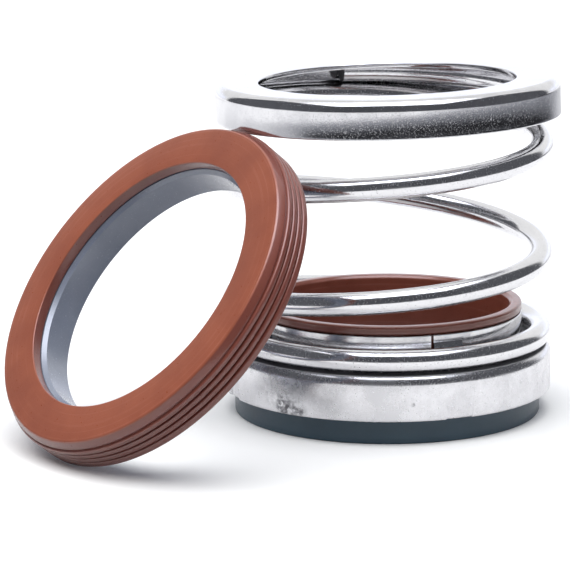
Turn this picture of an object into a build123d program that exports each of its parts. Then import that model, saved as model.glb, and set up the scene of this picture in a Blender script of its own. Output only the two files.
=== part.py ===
from build123d import *
from math import acos, atan2, cos, degrees, hypot, pi, radians, sin
import os

# Component mechanical seal, in millimetres and degrees.
# The rotary head stands on its seal face with its axis along Z and its origin at the centre of that
# face. Its coil is relaxed. The stationary seat leans against the head's holder, its rim at Z = 0.

# Fits
shaft_radius = 24.0
seat_gap = 0.05  # between pieces that are pressed or stacked together
slide_gap = 0.4  # round the pieces that slide on one another

# Edges
sheet_edge = 0.15
rubber_edge = 0.3
rubber_root = 0.2
cut_margin = 1.0  # how far a cut runs past the faces that it goes through

# Bellows
tail_wall = 1.6
tail_taper = 0.6
fold_wall = 1.2
fold_opening = 0.65
fold_depth = 3.4
head_wall = 1.15
head_skirt = 2.25
lip_overhang = 0.85
lip_height = 1.65
lip_gap = 0.2
lip_mouth = 0.6
lip_round = 0.35

# Primary ring
ring_clearance = 1.2
nose_height = 4.9
nose_edge = 0.3
ring_shoulder = 0.85
ring_notch_depth = 0.75
ring_body_height = 4.1
boss_wall = 1.45
boss_height = 1.2
fold_room = 0.1
fold_floor = 0.9

# Disc, retainer and its pressed details
disc_thickness = 1.2
disc_room = 0.1
retainer_sheet = 1.1
retainer_gap = 0.23
retainer_corner = 1.7
retainer_edge = 0.5
retainer_skirt = 9.1
dent_azimuths = (-64.5, 23.0, 115.5, 203.0)
dent_width = 4.8
dent_depth = 0.45
dent_height = 4.8
notch_side_gap = 0.3

# Drive band and its lugs
band_sheet = 0.8
band_height = 6.9
band_below_shoulder = 0.8
lug_count = 4
lug_azimuth = -63.95
lug_width = 6.1
lug_flare = 1.05
lug_fold_height = 1.2
lug_reach = 2.1
lug_straight = 2.5
lug_bend = 2.0
seam_width = 0.5

# Coil
wire_diameter = 4.4
coil_inset = 2.1
coil_skirt_gap = 0.2
coil_start_azimuth = -210.0
coil_opening_azimuths = (-30.0, 200.0)
coil_closing_azimuths = (733.0, 853.0)
coil_end_azimuth = 1188.0
coil_touch = 0.06
coil_lean_height = 0.86
coil_lean_azimuth = 195.0
coil_lean_fade_ratio = 0.15
coil_grind = 1.15
coil_step_angle = 12.0

# Spring holder
free_length = 65.4
holder_clearance = 1.0
holder_sheet = 1.0
holder_skirt = 7.25
holder_corner = 2.0
holder_inner_corner = 0.55
holder_edge = 0.25
holder_tilt_angle = 1.33

# Stationary seat
seat_clearance = 1.5
seat_ring_width = 6.0
seat_ring_length = 6.45
seat_ring_chamfer = 0.7
seat_ring_edge = 0.4
cup_wall = 3.42
cup_length = 7.33
cup_step = 0.75
cup_web = 2.22
cup_corner = 0.35
cup_taper = 0.8
cup_land_step = 0.35
groove_count = 4
groove_first = 1.8
rim_width = 1.48
groove_width = 0.4
groove_depth = 0.6
rib_edge = 0.15
seat_azimuth = 217.96
seat_side_shift = -1.55
seat_touch_depth = 2.79
seat_rest_gap = 0.05

# Radii that follow from the sizes above, from the shaft outwards
tail_radius = shaft_radius + tail_wall
fold_inner = shaft_radius + fold_wall
fold_outer = fold_inner + fold_opening
fold_radius = fold_outer + fold_wall
ring_bore_radius = shaft_radius + ring_clearance
pocket_radius = fold_radius + fold_room
boss_radius = pocket_radius + boss_wall
skirt_bore = boss_radius + seat_gap
body_radius = skirt_bore + head_skirt
nose_radius = body_radius - ring_shoulder
retainer_bore = body_radius + retainer_gap
retainer_radius = retainer_bore + retainer_sheet
band_bore = tail_radius + seat_gap
band_radius = band_bore + band_sheet
shoulder_bore = band_radius + slide_gap
lug_radius = band_radius + lug_flare
disc_bore = lug_radius + slide_gap
wire_radius = wire_diameter / 2
coil_radius = retainer_radius - coil_inset
holder_inner = coil_radius + wire_radius + coil_skirt_gap
holder_radius = holder_inner + holder_sheet
seat_bore_radius = shaft_radius + seat_clearance
seat_ring_radius = seat_bore_radius + seat_ring_width
cup_radius = seat_ring_radius + seat_gap + cup_wall

# Levels that follow from them, from the seal face upwards
body_top = nose_height + ring_body_height
ring_top = body_top + boss_height
head_bottom = ring_top + seat_gap
head_top = head_bottom + head_wall
disc_bottom = head_top + seat_gap
disc_top = disc_bottom + disc_thickness
shoulder_bottom = disc_top + seat_gap
shoulder_top = shoulder_bottom + retainer_sheet
edge_height = shoulder_top - retainer_skirt
fold_centre = head_top - fold_depth
fold_end = (fold_radius - shaft_radius) / 2
pocket_floor = fold_centre - fold_end - fold_floor
band_bottom = shoulder_top - band_below_shoulder
band_top = band_bottom + band_height
lug_bottom = shoulder_top - lug_reach
lug_fold = band_top - lug_fold_height
lip_bottom = band_top + lip_gap
lip_top = lip_bottom + lip_height
coil_bottom = shoulder_top + seat_gap
flange_bottom = free_length - holder_sheet
coil_top = flange_bottom - seat_gap


def turned(*corners, arc=360):
    """Turn an outline of (radius, height, corner radius) corners round Z."""
    points = [(radius, 0, height) for radius, height, _ in corners]
    outline = FilletPolyline(points, radius=[corner for *_, corner in corners], close=True)
    return revolve(make_face(outline), Axis.Z, arc)


def piece_of_turn(azimuth, width, *corners):
    """A stretch of a turned outline, centred on an azimuth and as wide as its angle."""
    return Rot(0, 0, azimuth - width / 2) * turned(*corners, arc=width)


def angle_of(width, radius):
    """The angle that a width takes up on a radius."""
    return width / radius * 180 / pi


def around(first, count):
    """Evenly spaced azimuths, from the first one on."""
    return [first + 360 / count * i for i in range(count)]


def primary_ring():
    """Seal face ring: nose, notched body, boss for the bellows and a pocket for its fold."""
    ring = turned(
        (ring_bore_radius, 0, 0),
        (nose_radius, 0, nose_edge),
        (nose_radius, nose_height, 0),
        (body_radius, nose_height, 0),
        (body_radius, body_top, 0),
        (boss_radius, body_top, 0),
        (boss_radius, ring_top, 0),
        (pocket_radius, ring_top, 0),
        (pocket_radius, pocket_floor, 0),
        (ring_bore_radius, pocket_floor, 0),
    )
    notch_angle = angle_of(dent_width + 2 * notch_side_gap, body_radius)
    notch_floor = body_radius - ring_notch_depth
    for azimuth in dent_azimuths:
        ring -= piece_of_turn(
            azimuth,
            notch_angle,
            (notch_floor, nose_height, 0),
            (body_radius + cut_margin, nose_height, 0),
            (body_radius + cut_margin, body_top + cut_margin, 0),
            (notch_floor, body_top + cut_margin, 0),
        )
    return ring


def bellows():
    """Rubber bellows: lip, tail on the shaft, one fold in the ring's pocket, head over the boss."""
    taper_bottom = head_top + tail_taper
    taper_top = taper_bottom + tail_taper
    lip_radius = tail_radius + lip_overhang
    tail = turned(
        (shaft_radius, fold_centre, 0),
        (fold_inner, fold_centre, 0),
        (fold_inner, taper_bottom, 0),
        (tail_radius, taper_top, 0),
        (tail_radius, lip_bottom, rubber_root),
        (lip_radius, lip_bottom, rubber_edge),
        (lip_radius, lip_top, lip_round),
        (shaft_radius + lip_mouth, lip_top, rubber_root),
        (shaft_radius, lip_top - lip_mouth, rubber_root),
    )
    head = turned(
        (fold_outer, fold_centre, 0),
        (fold_radius, fold_centre, 0),
        (fold_radius, head_bottom, 0),
        (skirt_bore, head_bottom, 0),
        (skirt_bore, body_top + seat_gap, 0),
        (body_radius, body_top + seat_gap, 0),
        (body_radius, head_top, rubber_edge),
        (fold_outer, head_top, rubber_edge),
    )
    fold_place = Pos((shaft_radius + fold_radius) / 2, 0, fold_centre) * Rot(90, 0, 0)
    upper_half = Rectangle(2 * fold_radius, fold_radius, align=(Align.CENTER, Align.MIN))
    fold = fold_place * (Circle(fold_end) - Circle(fold_opening / 2) - upper_half)
    return tail + head + revolve(fold, Axis.Z)


def disc():
    """Flat washer between the bellows' head and the retainer's shoulder."""
    disc_radius = body_radius - disc_room
    return turned(
        (disc_bore, disc_bottom, 0),
        (disc_radius, disc_bottom, 0),
        (disc_radius, disc_top, sheet_edge),
        (disc_bore, disc_top, sheet_edge),
    )


def retainer():
    """Pressed shell: skirt with dents at its edge, rounded corner, shoulder slotted for the lugs."""
    inner_corner = retainer_corner - retainer_sheet
    shell = turned(
        (retainer_bore, edge_height, 0),
        (retainer_radius, edge_height, retainer_edge),
        (retainer_radius, shoulder_top, retainer_corner),
        (shoulder_bore, shoulder_top, sheet_edge),
        (shoulder_bore, shoulder_bottom, 0),
        (retainer_bore, shoulder_bottom, inner_corner),
    )
    dent_top = edge_height + dent_height
    dent_angle = angle_of(dent_width, retainer_radius)
    for azimuth in dent_azimuths:
        shell -= piece_of_turn(
            azimuth,
            dent_angle,
            (retainer_bore - cut_margin, edge_height - cut_margin, 0),
            (retainer_radius + cut_margin, edge_height - cut_margin, 0),
            (retainer_radius + cut_margin, dent_top, 0),
            (retainer_bore - cut_margin, dent_top, 0),
        )
        shell += piece_of_turn(
            azimuth,
            dent_angle,
            (retainer_bore - dent_depth, edge_height, 0),
            (retainer_radius - dent_depth, edge_height, retainer_edge),
            (retainer_radius, dent_top, 0),
            (retainer_bore, dent_top, 0),
        )
    slot_angle = angle_of(lug_width + 2 * notch_side_gap, band_radius)
    for azimuth in around(lug_azimuth, lug_count):
        shell -= piece_of_turn(
            azimuth,
            slot_angle,
            (shoulder_bore - cut_margin, shoulder_bottom - cut_margin, 0),
            (disc_bore, shoulder_bottom - cut_margin, 0),
            (disc_bore, shoulder_top + cut_margin, 0),
            (shoulder_bore - cut_margin, shoulder_top + cut_margin, 0),
        )
    return shell


def drive_band():
    """Band on the bellows' tail, split by its seam, with lugs bent out into the retainer's slots."""
    band = turned(
        (band_bore, band_bottom, 0),
        (band_radius, band_bottom, 0),
        (band_radius, band_top, sheet_edge),
        (band_bore, band_top, sheet_edge),
    )
    lug_angle = angle_of(lug_width, band_radius)
    for azimuth in around(lug_azimuth, lug_count):
        band -= piece_of_turn(
            azimuth,
            lug_angle,
            (band_bore - cut_margin, band_bottom - cut_margin, 0),
            (band_radius + cut_margin, band_bottom - cut_margin, 0),
            (band_radius + cut_margin, lug_fold, 0),
            (band_bore - cut_margin, lug_fold, 0),
        )
        band += piece_of_turn(
            azimuth,
            lug_angle,
            (band_bore, lug_fold, 0),
            (band_radius, lug_fold, 0),
            (lug_radius, lug_bottom + lug_straight, lug_bend),
            (lug_radius, lug_bottom, sheet_edge),
            (lug_radius - band_sheet, lug_bottom, sheet_edge),
            (lug_radius - band_sheet, lug_bottom + lug_straight, lug_bend),
        )
    seam_angle = angle_of(seam_width, band_radius)
    return band - piece_of_turn(
        lug_azimuth - (lug_angle + seam_angle) / 2,
        seam_angle,
        (band_bore - cut_margin, lug_bottom - cut_margin, 0),
        (lug_radius, lug_bottom - cut_margin, 0),
        (lug_radius, band_top + cut_margin, 0),
        (band_bore - cut_margin, band_top + cut_margin, 0),
    )


def ramp_sum(angle, stretch):
    """Area under a slope from 0 to 1 over a stretch of angles, and 1 beyond it."""
    start, end = stretch
    if angle <= start:
        return 0
    if angle < end:
        return (angle - start) ** 2 / (2 * (end - start))
    return angle - (start + end) / 2


def coil_height(angle):
    """Height of the wire's centre at an angle along the coil, whose ends are closed."""
    first = coil_bottom + wire_radius
    last = coil_top - wire_radius + coil_grind
    closed_rise = (wire_diameter + coil_touch) / 360
    closed_sum = ramp_sum(coil_end_azimuth, coil_closing_azimuths)
    open_sum = ramp_sum(coil_end_azimuth, coil_opening_azimuths) - closed_sum
    open_rise = (last - first - closed_rise * closed_sum) / open_sum
    risen = ramp_sum(angle, coil_closing_azimuths)
    height = first + open_rise * (ramp_sum(angle, coil_opening_azimuths) - risen) + closed_rise * risen
    start, end = coil_opening_azimuths[0], coil_closing_azimuths[1]
    share = (angle - start) / (end - start)
    fade = max(0, min(share, 1 - share, coil_lean_fade_ratio)) / coil_lean_fade_ratio
    return height + coil_lean_height * sin(fade * pi / 2) ** 2 * cos(radians(angle - coil_lean_azimuth))


def coil_spring():
    """Right-hand coil of round wire, its ends closed and its upper end ground flat."""
    swept_angle = coil_end_azimuth - coil_start_azimuth
    steps = round(swept_angle / coil_step_angle)
    angles = [coil_start_azimuth + swept_angle * i / steps for i in range(steps + 1)]
    points = [
        (coil_radius * cos(radians(angle)), coil_radius * sin(radians(angle)), coil_height(angle))
        for angle in angles
    ]
    path = Spline(points)
    wire = sweep(Plane(path @ 0, z_dir=path % 0) * Circle(wire_radius), path, is_frenet=True)
    ground = Cylinder(holder_radius, wire_diameter, align=(Align.CENTER, Align.CENTER, Align.MIN))
    return wire - tilted(Pos(0, 0, coil_top) * ground)


def tilted(shape):
    """A shape tipped as the holder is on the coil's ground end, about the middle of its top."""
    return Pos(0, 0, free_length) * Rot(0, -holder_tilt_angle, 0) * Pos(0, 0, -free_length) * shape


def spring_holder():
    """Pressed ring of L section: a flange that stops the coil and a skirt that centres it."""
    holder_bore = shaft_radius + holder_clearance
    skirt_bottom = free_length - holder_skirt
    ring = turned(
        (holder_inner, skirt_bottom, sheet_edge),
        (holder_radius, skirt_bottom, holder_edge),
        (holder_radius, free_length, holder_corner),
        (holder_bore, free_length, holder_edge),
        (holder_bore, flange_bottom, sheet_edge),
        (holder_inner, flange_bottom, holder_inner_corner),
    )
    return tilted(ring)


def seat_place():
    """Where the leaning seat's back face lies: its rim on the floor, its side by the holder's edge."""
    tilt = radians(holder_tilt_angle)
    away = cos(radians(seat_azimuth))
    touch_height = free_length - holder_skirt * cos(tilt) + holder_radius * away * sin(tilt)
    touch_radius = holder_radius * (1 - away**2 * (1 - cos(tilt))) + holder_skirt * sin(tilt) * away
    touch_rest = cup_length - seat_touch_depth
    rise = atan2(touch_rest, 2 * cup_radius) + acos(touch_height / hypot(touch_rest, 2 * cup_radius))
    centre_height = cup_radius * cos(rise) + cup_length * sin(rise)
    distance = touch_radius + cup_radius * sin(rise) + seat_touch_depth * cos(rise) + seat_rest_gap / sin(rise)
    facing = Pos(0, 0, centre_height) * Rot(0, 0, seat_azimuth)
    return facing * Pos(distance, seat_side_shift, 0) * Rot(0, 90 - degrees(rise), 0)


def seat_ring():
    """Stationary face ring. Its lapped face stands proud of the cup."""
    back = -cup_web - seat_gap
    front = back - seat_ring_length
    ring = turned(
        (seat_bore_radius, front, 0),
        (seat_ring_radius - seat_ring_edge, front, 0),
        (seat_ring_radius, front + seat_ring_edge, 0),
        (seat_ring_radius, back, 0),
        (seat_bore_radius + seat_ring_chamfer, back, 0),
        (seat_bore_radius, back - seat_ring_chamfer, 0),
    )
    return seat_place() * ring


def seat_cup():
    """Rubber cup round the seat ring, its side cut by grooves that leave grip ribs."""
    pocket = seat_ring_radius + seat_gap
    cup_bore = seat_bore_radius + cup_step
    land_radius = cup_radius - cup_land_step
    groove_radius = cup_radius - groove_depth
    groove_half = groove_width / 2
    groove_pitch = (cup_length - groove_first - rim_width) / (groove_count - 1)
    side = [(land_radius - cup_taper, 0, cup_corner)]
    for i in range(groove_count):
        middle = -groove_first - groove_pitch * i
        crest = land_radius if i == 0 else cup_radius
        side += [
            (crest, middle + groove_half, rib_edge),
            (groove_radius, middle + groove_half / 2, 0),
            (groove_radius, middle - groove_half / 2, 0),
            (cup_radius, middle - groove_half, rib_edge),
        ]
    cup = turned(
        (cup_bore, 0, rubber_root),
        *side,
        (cup_radius, -cup_length, rubber_edge),
        (pocket, -cup_length, rubber_root),
        (pocket, -cup_web, 0),
        (cup_bore, -cup_web, 0),
    )
    return seat_place() * cup


makers = (
    spring_holder,
    coil_spring,
    retainer,
    disc,
    primary_ring,
    bellows,
    drive_band,
    seat_ring,
    seat_cup,
)
os.makedirs("parts", exist_ok=True)
for maker in makers:
    export_step(maker(), f"parts/{maker.__name__}.step")
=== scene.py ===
"""Component mechanical seal: the visual model, studio and camera round its CAD frame.

The rotary head stands on its seal face with its axis on Z. The stationary seat leans against the
head's spring holder. Sizes are in millimetres and angles in degrees until a mesh is finished, when
it becomes metres. Azimuths run anticlockwise from +X, and the camera looks from about -90 degrees.
"""

from __future__ import annotations

import logging
import math
from collections.abc import Sequence
from dataclasses import dataclass
from enum import Enum

import bmesh
import bpy
from mathutils import Euler, Matrix, Vector

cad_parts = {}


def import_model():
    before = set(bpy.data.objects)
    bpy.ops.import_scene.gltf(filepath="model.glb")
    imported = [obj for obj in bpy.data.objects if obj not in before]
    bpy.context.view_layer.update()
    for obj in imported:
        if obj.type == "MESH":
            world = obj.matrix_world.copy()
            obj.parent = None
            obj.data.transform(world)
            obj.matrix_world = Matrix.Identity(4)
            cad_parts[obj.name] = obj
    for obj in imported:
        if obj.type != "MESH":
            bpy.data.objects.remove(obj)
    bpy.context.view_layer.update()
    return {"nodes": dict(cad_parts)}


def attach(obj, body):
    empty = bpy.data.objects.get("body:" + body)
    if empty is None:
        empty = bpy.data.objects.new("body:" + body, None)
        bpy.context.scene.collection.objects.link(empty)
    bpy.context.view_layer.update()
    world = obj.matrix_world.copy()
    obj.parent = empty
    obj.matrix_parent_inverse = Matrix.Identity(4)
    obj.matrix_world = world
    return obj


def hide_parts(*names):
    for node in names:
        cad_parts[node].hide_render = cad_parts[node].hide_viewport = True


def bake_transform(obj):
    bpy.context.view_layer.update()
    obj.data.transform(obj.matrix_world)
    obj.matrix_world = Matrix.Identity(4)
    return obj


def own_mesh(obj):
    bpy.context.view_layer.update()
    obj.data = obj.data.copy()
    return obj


log = logging.getLogger("seal")

MM = 0.001
CUT_MARGIN = 1.0  # how far a cut runs past the faces that it goes through

BMesh = bmesh.types.BMesh
Object = bpy.types.Object
Material = bpy.types.Material
Socket = bpy.types.NodeSocket
Span = tuple[float, float]
Triple = tuple[float, float, float]
Colour = Triple
Corner = Triple
Value = Socket | float | Triple | Vector | Euler


# ---------------------------------------------------------------------------------------------
# Mesh making
# ---------------------------------------------------------------------------------------------


def section(corners: list[Corner], rounding: int = 6) -> BMesh:
    """Lay a section outline as one face in the XZ plane, with its corners rounded.

    Args:
        corners: (radius, height, corner radius) of each corner, in order.
        rounding: Segments of each rounded corner.

    Returns:
        A new bmesh that holds the section's face.
    """
    bm = bmesh.new()
    verts = [bm.verts.new((radius, 0, height)) for radius, height, _ in corners]
    bm.faces.new(verts)
    for size in sorted({corner for *_, corner in corners if corner > 0}):
        bmesh.ops.bevel(
            bm,
            geom=[v for v, (*_, corner) in zip(verts, corners) if corner == size],
            offset=size,
            offset_type="OFFSET",
            segments=rounding,
            profile=0.5,
            affect="VERTICES",
            material=-1,
            clamp_overlap=False,
        )
    return bm


def turned(corners: list[Corner], steps: int = 256, rounding: int = 6) -> BMesh:
    """Turn a section all the way round Z.

    Args:
        corners: The section's (radius, height, corner radius) corners.
        steps: Segments round the axis.
        rounding: Segments of each rounded corner.

    Returns:
        A closed ring.
    """
    bm = section(corners, rounding)
    bmesh.ops.delete(bm, geom=bm.faces[:], context="FACES_ONLY")
    spin(bm, 360, steps)
    return bm


def stretch_of_turn(
    azimuth: float, width: float, corners: list[Corner], steps: int = 24, rounding: int = 6
) -> BMesh:
    """Turn a section over a stretch that is centred on an azimuth.

    Args:
        azimuth: The stretch's middle.
        width: The stretch's angle.
        corners: The section's (radius, height, corner radius) corners.
        steps: Segments along the stretch.
        rounding: Segments of each rounded corner.

    Returns:
        A closed piece with flat ends.
    """
    bm = section(corners, rounding)
    spin(bm, width, steps)
    bmesh.ops.rotate(bm, verts=bm.verts, matrix=Matrix.Rotation(math.radians(azimuth - width / 2), 3, "Z"))
    return bm


def spin(bm: BMesh, angle: float, steps: int) -> None:
    """Spin all that a bmesh holds round Z, close a full turn and point its faces outwards.

    Args:
        bm: The bmesh.
        angle: The angle turned.
        steps: Segments of the turn.
    """
    bmesh.ops.spin(
        bm,
        geom=bm.faces[:] + bm.edges[:] + bm.verts[:],
        cent=(0, 0, 0),
        axis=(0, 0, 1),
        dvec=(0, 0, 0),
        angle=math.radians(angle),
        steps=steps,
        use_merge=angle == 360,
        use_normal_flip=False,
        use_duplicate=False,
    )
    bmesh.ops.recalc_face_normals(bm, faces=bm.faces)


def joined(*parts: BMesh) -> BMesh:
    """Put several bmeshes together in the first one.

    Args:
        parts: The bmeshes; all but the first are freed.

    Returns:
        The first bmesh, with the others' geometry added.
    """
    whole, *others = parts
    for part in others:
        mesh = bpy.data.meshes.new("part")
        part.to_mesh(mesh)
        part.free()
        whole.from_mesh(mesh)
        bpy.data.meshes.remove(mesh)
    return whole


def carved(bm: BMesh, cutter: BMesh) -> BMesh:
    """Cut one closed bmesh out of another.

    Args:
        bm: The bmesh to cut; it is freed.
        cutter: The bmesh that is cut away; it is freed.

    Returns:
        A new bmesh of what is left.
    """
    body, tool = plain_object(bm, "body"), plain_object(cutter, "tool")
    cut = body.modifiers.new("cut", "BOOLEAN")
    cut.operation = "DIFFERENCE"
    cut.solver = "EXACT"
    cut.object = tool
    bpy.context.view_layer.update()
    left = bmesh.new()
    left.from_object(body, bpy.context.evaluated_depsgraph_get())
    for obj in (body, tool):
        bpy.data.meshes.remove(obj.data)
    return left


def cut_round(bm: BMesh, azimuths: Sequence[float], width: float, radii: Span, heights: Span) -> BMesh:
    """Cut the same block out of a ring at several azimuths.

    Args:
        bm: The ring; it is freed.
        azimuths: The blocks' middles.
        width: The blocks' angle.
        radii: Where the blocks start and end outwards.
        heights: Where they start and end upwards.

    Returns:
        A new bmesh of what is left.
    """
    (inner, outer), (bottom, top) = radii, heights
    block = [(inner, bottom, 0), (outer, bottom, 0), (outer, top, 0), (inner, top, 0)]
    return carved(bm, joined(*(stretch_of_turn(azimuth, width, block) for azimuth in azimuths)))


def plain_object(bm: BMesh, name: str) -> Object:
    """Write a bmesh to a new object and free it.

    Args:
        bm: The bmesh.
        name: The object's name.

    Returns:
        The object, linked to the scene.
    """
    mesh = bpy.data.meshes.new(name)
    bm.to_mesh(mesh)
    bm.free()
    obj = bpy.data.objects.new(name, mesh)
    bpy.context.scene.collection.objects.link(obj)
    return obj


def angle_of(width: float, radius: float) -> float:
    """The angle that a width takes up on a radius."""
    return math.degrees(width / radius)


def smooth_step(value: float) -> float:
    """Ease a share from 0 to 1, and hold it beyond."""
    share = max(0.0, min(1.0, value))
    return share * share * (3 - 2 * share)


# ---------------------------------------------------------------------------------------------
# Finishes
# ---------------------------------------------------------------------------------------------


class Space(Enum):
    """What a pattern follows: the object's own coordinates, or the length and round of the wire."""

    OBJECT = "Object"
    WIRE = "wire"


class Wiring:
    """Adds nodes to a node tree with short calls."""

    def __init__(self, tree: bpy.types.NodeTree) -> None:
        """Take the tree that the nodes go into."""
        self.nodes, self.links = tree.nodes, tree.links

    def feed(self, socket: Socket, value: Value) -> None:
        """Link a socket's value to an input, or set a constant on it.

        Args:
            socket: The input.
            value: A socket, a number, a colour or a vector.
        """
        if isinstance(value, Socket):
            self.links.new(value, socket)
        else:
            socket.default_value = (*value, 1) if socket.type == "RGBA" else value

    def node(self, kind: str, inputs: dict[str | int, Value], **settings: str) -> bpy.types.Node:
        """Add a node.

        Args:
            kind: Its type, without the prefix that shader nodes share.
            inputs: The value of each input that isn't left alone, by name or number.
            settings: What it does, such as its operation.

        Returns:
            The node.
        """
        node = self.nodes.new(f"ShaderNode{kind}")
        for name, setting in settings.items():
            setattr(node, name, setting)
        for key, value in inputs.items():
            self.feed(node.inputs[key], value)
        return node

    def level(self, value: Socket, source: Span, target: Span) -> Socket:
        """Map a value from one range to another, and hold it inside the second."""
        limits = dict(zip(("From Min", "From Max", "To Min", "To Max"), (*source, *target)))
        return self.node("MapRange", {"Value": value, **limits}).outputs["Result"]

    def maths(self, operation: str, *values: Value) -> Socket:
        """Combine values with one arithmetic operation."""
        return self.node("Math", dict(enumerate(values)), operation=operation).outputs["Value"]

    def mix(self, share: Socket, first: Value, second: Value) -> Socket:
        """Mix two colours by a share, which is 0 for the first."""
        ends = {"Factor": share, "A": first, "B": second}
        return self.node("Mix", ends, data_type="RGBA").outputs["Result"]


class Shading(Wiring):
    """Builds one node material with short calls."""

    def __init__(self, name: str, space: Space = Space.OBJECT) -> None:
        """Start a material with a Principled shader.

        Args:
            name: The material's name.
            space: What its patterns follow.
        """
        self.material = bpy.data.materials.new(name)
        self.material.use_nodes = True
        super().__init__(self.material.node_tree)
        self.shader = self.nodes["Principled BSDF"]
        if space is Space.OBJECT:
            self.place = self.node("TexCoord", {}).outputs["Object"]
        else:
            self.place = self.node("Attribute", {}, attribute_name=space.value).outputs["Vector"]

    def part(self, axis: str, place: Socket | None = None) -> Socket:
        """One of the coordinates that a pattern follows, X, Y or Z, in metres."""
        return self.node("SeparateXYZ", {"Vector": place or self.place}).outputs[axis]

    def stretch(self, scale: Triple) -> Socket:
        """Scale the coordinates that a pattern follows, each axis by its own factor."""
        return self.node("Mapping", {"Scale": scale, "Vector": self.place}).outputs["Vector"]

    def near(self, centre: Triple, reach: float) -> Socket:
        """How near a point is: 1 at a centre in millimetres, and 0 from a reach on."""
        away = self.node("VectorMath", {0: self.place, 1: Vector(centre) * MM}, operation="DISTANCE")
        return self.level(away.outputs["Value"], (0.0, reach * MM), (1.0, 0.0))

    def turned_place(self, axis: Matrix) -> Socket:
        """Measure radius and height about an axis, so that a pattern runs round it as tool marks do.

        Args:
            axis: Where the axis lies, in millimetres.

        Returns:
            Coordinates with the radius as X and the height as Y, in metres.
        """
        lie = {"Location": axis.to_translation() * MM, "Rotation": axis.to_euler(), "Vector": self.place}
        own = self.node("Mapping", lie, vector_type="TEXTURE").outputs["Vector"]
        flat = self.node("VectorMath", {0: own, 1: (1, 1, 0)}, operation="MULTIPLY").outputs["Vector"]
        radius = self.node("VectorMath", {0: flat}, operation="LENGTH").outputs["Value"]
        return self.node("CombineXYZ", {"X": radius, "Y": self.part("Z", own)}).outputs["Vector"]

    def noise(
        self, size: float, detail: float, roughness: float = 0.55, place: Socket | None = None
    ) -> Socket:
        """Lay a cloudy pattern.

        Args:
            size: Size of a patch in millimetres.
            detail: Octaves of finer patches.
            roughness: How strong the finer patches are.
            place: Coordinates to follow in place of the material's own.

        Returns:
            The pattern's value, near 0.5 on average.
        """
        looks = {"Scale": 1 / (size * MM), "Detail": detail, "Roughness": roughness}
        return self.node("TexNoise", {**looks, "Vector": place or self.place}).outputs["Fac"]

    def bump(self, height: Socket, depth: float, below: Socket | None = None) -> Socket:
        """Raise the surface by a pattern.

        Args:
            height: The pattern, from 0 to 1.
            depth: How far its peaks stand, in millimetres.
            below: A coarser bump that this one lies on.

        Returns:
            The normal.
        """
        under = {} if below is None else {"Normal": below}
        return self.node("Bump", {"Distance": depth * MM, "Height": height, **under}).outputs["Normal"]

    def finish(self, **values: Value) -> Material:
        """Give the Principled shader its inputs.

        Args:
            values: Input names in small letters with _ for a space, and their values.

        Returns:
            The material.
        """
        inputs = {socket.name.lower().replace(" ", "_"): socket for socket in reversed(self.shader.inputs)}
        for name, value in values.items():
            self.feed(inputs[name], value)
        return self.material

    def surface(self, shader: Socket) -> Material:
        """Show another shader in place of the Principled one.

        Args:
            shader: The other shader's output.

        Returns:
            The material.
        """
        self.links.new(shader, self.nodes["Material Output"].inputs["Surface"])
        self.nodes.remove(self.shader)
        return self.material


class Finish:
    """A surface's look: its colours, patterns and roughness."""

    def material(self, name: str, axis: Matrix) -> Material:
        """Make the finish for one piece.

        Args:
            name: The material's name.
            axis: The piece's own axis in millimetres, for what runs round it.

        Returns:
            The material.
        """
        raise NotImplementedError


@dataclass(frozen=True)
class Mark:
    """A darker, flecked place on a surface: its middle, how far it reaches and how strong it is."""

    centre: Triple
    reach: float
    strength: float


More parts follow.
